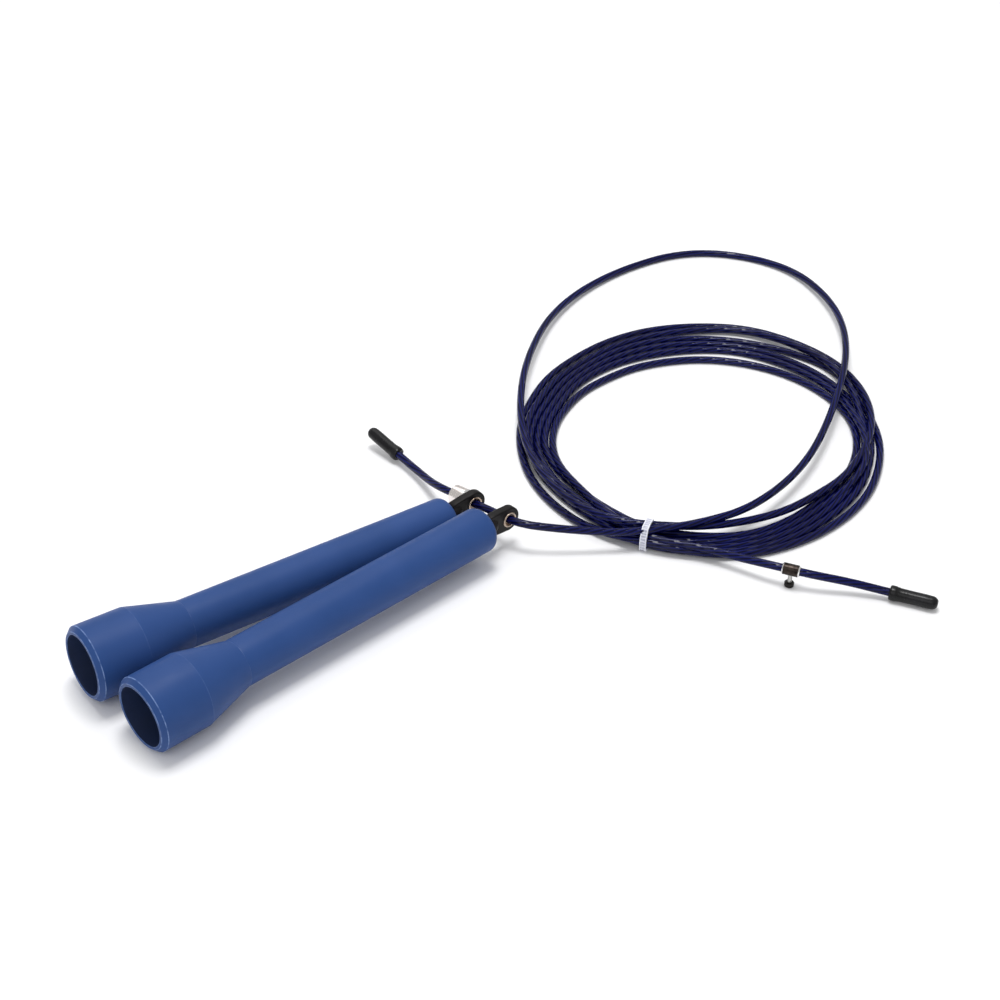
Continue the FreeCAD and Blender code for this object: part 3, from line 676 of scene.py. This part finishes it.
def build_collar(name, screw, along, radius, length, bevel, material, node_name):
    """Stop collar round the cable where its clamp screw stands, with its bevels in a brighter metal: painted
    highlight.
    """
    middle = Vector(screw["pos_m"]) - Vector(screw["axis"]) * SCREW_FOOT * MM
    matrix = place_frame(middle, along, (0, 0, 1))
    half = length / 2
    outline = rounded([
        (-half, 1.7), (-half, radius - bevel), (-half + bevel, radius),
        (half - bevel, radius), (half, radius - bevel), (half, 1.7),
    ], 0.1, 3)
    made = lathe(name, outline, matrix, [material, bevel_highlight_steel], "rope", 56, closed=True)
    inverse = matrix.inverted()
    for face in made.data.polygons:
        centre = inverse @ face.center
        normal = inverse.to_3x3() @ face.normal
        # Faces on the end bevels take the brighter metal: painted highlight.
        edge = abs(centre.x) > (half - bevel * 1.05) * MM and 0.3 < abs(normal.x) < 0.9
        face.material_index = 1 if edge else 0
    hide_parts(node_name)
    return made


def tie_path():
    """Evenly spaced points round the tied strands, and the length of the way round."""
    loop = []
    for step in range(TIE_DIRECTIONS):
        angle = 2 * math.pi * step / TIE_DIRECTIONS
        outward = Vector((math.cos(angle), math.sin(angle)))
        best = max(TIE_STRANDS, key=lambda s: s[0] * outward.x + s[1] * outward.y)
        loop.append(Vector(best) + outward * TIE_INSIDE)
    steps = [(end - start).length for start, end in zip(loop, loop[1:] + loop[:1])]
    girth = sum(steps)
    count = round(girth / STRAP_STEP)
    even, index, passed = [], 0, 0.0
    for place in range(count):
        target = girth * place / count
        while passed + steps[index] < target:
            passed += steps[index]
            index += 1
        share = (target - passed) / max(steps[index], 1e-9)
        even.append(loop[index].lerp(loop[(index + 1) % len(loop)], share))
    return even, girth


def build_strap(matrix):
    """The tie's strap: ladder ribs between two rails, hugging the bundle."""
    even, girth = tie_path()
    count = len(even)
    ribs = round(girth / RIB_PITCH)
    mesh = bpy.data.meshes.new("tie_strap")
    build = bmesh.new()
    wear_and_highlight = build.verts.layers.float.new("wear_and_highlight")
    # The third numbers mark the rails' tops, which are painted paler: painted highlight.
    across = [(-1.35, 0.0, 0), (-1.35, 0.85, 1), (-1.25, 0.98, 1), (-0.98, 0.98, 1), (-0.9, 0.7, 0),
              (0.0, 0.7, 0), (0.9, 0.7, 0), (0.98, 0.98, 1), (1.25, 0.98, 1), (1.35, 0.85, 1), (1.35, 0.0, 0)]
    rings = []
    for index, point in enumerate(even):
        along = (even[(index + 4) % count] - even[index - 4]).normalized()
        outward = Vector((along.y, -along.x))
        rib = RIB_HEIGHT if (index * ribs / count) % 1 < RIB_SHARE else 0.0
        ring = []
        for x, height, bright in across:
            lift = height + (rib if abs(x) < 0.95 and height > 0.5 else 0.0)
            spot = point + outward * lift
            vert = build.verts.new(mm(x, spot.x, spot.y))
            # Rail and rib tops are painted paler: painted highlight.
            vert[wear_and_highlight] = 1.0 if bright else (0.55 if rib and height > 0.5 else 0.0)
            ring.append(vert)
        rings.append(ring)
    for first, second in zip(rings, rings[1:] + rings[:1]):
        bridge(build, first, second)
    close_build(build, mesh)
    return finish_mesh("tie_strap", mesh, matrix, [tie_white], "rope", smooth=False)


def build_tie_head(matrix):
    """The tie's bevelled head, low on the inside of the coil, with the strap's cut end."""
    mesh = bpy.data.meshes.new("tie_head")
    build = bmesh.new()
    block = Matrix.Translation(mm(0, 7.3, 2.3)) @ Matrix.Diagonal((4.2 * MM, 3.9 * MM, 3.3 * MM, 1))
    bmesh.ops.create_cube(build, size=1.0, matrix=block)
    bmesh.ops.bevel(build, geom=list(build.edges), offset=0.45 * MM, segments=3, affect="EDGES", profile=0.6)
    block = Matrix.Translation(mm(0, 7.9, 4.5)) @ Matrix.Diagonal((2.5 * MM, 0.9 * MM, 2.2 * MM, 1))
    stub = bmesh.ops.create_cube(build, size=1.0, matrix=block)
    edges = list(dict.fromkeys(edge for vert in stub["verts"] for edge in vert.link_edges))
    bmesh.ops.bevel(build, geom=edges, offset=0.12 * MM, segments=2, affect="EDGES")
    build.to_mesh(mesh)
    build.free()
    return finish_mesh("tie_head", mesh, matrix, [tie_white], "rope", smooth=False)


def build_tie():
    """Cable tie round the bundle where the coil, the loop and the two ends meet."""
    matrix = Matrix.Translation(mm(*TIE_PLACE)) @ Matrix.Rotation(math.radians(TIE_TURN), 4, "Z")
    strap = build_strap(matrix)
    head = build_tie_head(matrix)
    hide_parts("cable_tie")
    return strap, head


def screw_matrix(screw):
    """X out of the collar along the screw, from the cable's axis."""
    axis = Vector(screw["axis"])
    return place_frame(Vector(screw["pos_m"]) - axis * SCREW_FOOT * MM, axis, (0, 1, 0))


def build_clamp_screws(left, right):
    """Headless set screw in the left collar, socket-head screw under the right one."""
    grub = lathe("clamp_screw_left_grub",
                 [(SCREW_FOOT, 0), (SCREW_FOOT, 0.9), (2.1, 1.28), (4.4, 1.28), (4.58, 1.1), (4.58, 0.66),
                  (3.5, 0.64), (3.5, 0)],
                 screw_matrix(left), [steel_dark], "left_clamp_screw", 36, hex_below=0.7)
    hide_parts("clamp_screw_left")
    matrix = screw_matrix(right)
    thread = []
    for step in range(THREAD_TURNS):
        x = 2.1 + step * THREAD_PITCH
        thread += [(x, 0.72), (x + THREAD_PITCH / 2, 0.86)]
    shank = lathe("clamp_screw_right_shank",
                  [(SCREW_FOOT, 0), (SCREW_FOOT, 0.7)] + thread + [(6.0, 0.7), (6.0, 0)],
                  matrix, [zinc], "right_clamp_screw", 28)
    outline = [(5.95, 0.0), (5.95, 1.65), (6.15, 1.9), (7.55, 1.9), (7.75, 1.7), (7.75, 0.85), (6.9, 0.85),
               (6.9, 0.0)]
    head = lathe("clamp_screw_right_head", rounded(outline, 0.08, 2), matrix, [black_screw],
                 "right_clamp_screw", 36, hex_below=1.2)
    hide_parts("clamp_screw_right")
    return grub, shank, head


# ---------------------------------------------------------------- build

aim_camera()
main_points = BIG_LOOP + coil_points() + RIGHT_END
main_length = 3.64
left_length = 0.088
cable_main = make_cable("cable_main", main_points, coated_cable("coated_cable", main_length))
cable_left = make_cable("cable_left", LEFT_END, coated_cable("coated_cable_left", left_length))
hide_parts("cable_lead", "cable_loop", "cable_coil", "cable_tail")

plastic, shaded_bore = handle_plastic(), shaded_bore_plastic()
nylon, rubber = black_nylon(), black_rubber()
bronze = metal("eyelet_bronze", (0.62, 0.5, 0.4), (0.2, 0.13, 0.09), 0.24, 0.4)
zinc = metal("zinc_steel", (0.62, 0.62, 0.6), (0.4, 0.39, 0.36), 0.3)
nickel = metal("nickel_plate", (0.86, 0.8, 0.77), (0.4, 0.33, 0.29), 0.2, 0.25)
# Brighter metal for the collars' bevels: painted highlight.
bevel_highlight_steel = metal("bevel_highlight_steel", (0.85, 0.84, 0.83), (0.6, 0.58, 0.55), 0.18, 0.2)
steel_dark = metal("dark_steel", (0.06, 0.047, 0.04), (0.015, 0.012, 0.011), 0.3, 0.5)
black_screw = metal("black_screw", (0.03, 0.028, 0.028), (0.06, 0.055, 0.05), 0.4, 0.3)
tie_white = white_nylon()

for side in ("far", "near"):
    build_handle(side)
    build_eye(side)
cap_left = build_cap("cap_left", LEFT_END[-1], LEFT_END[-2], "end_cap_left")
cap_right = build_cap("cap_right", RIGHT_END[-1], RIGHT_END[-2], "end_cap_right")
left_screw, right_screw = joints["left_clamp_screw_turn"], joints["right_clamp_screw_turn"]
collar_left = build_collar("collar_left", left_screw, Vector(LEFT_END[3]) - Vector(LEFT_END[2]),
                           radius=4.2, length=7.0, bevel=0.6, material=nickel,
                           node_name="stop_collar_left")
collar_right = build_collar("collar_right", right_screw, Vector(RIGHT_END[3]) - Vector(RIGHT_END[2]),
                            radius=2.35, length=7.0, bevel=0.45, material=steel_dark,
                            node_name="stop_collar_right")
strap, head = build_tie()
grub, shank, screw_head = build_clamp_screws(left_screw, right_screw)
build_stage()
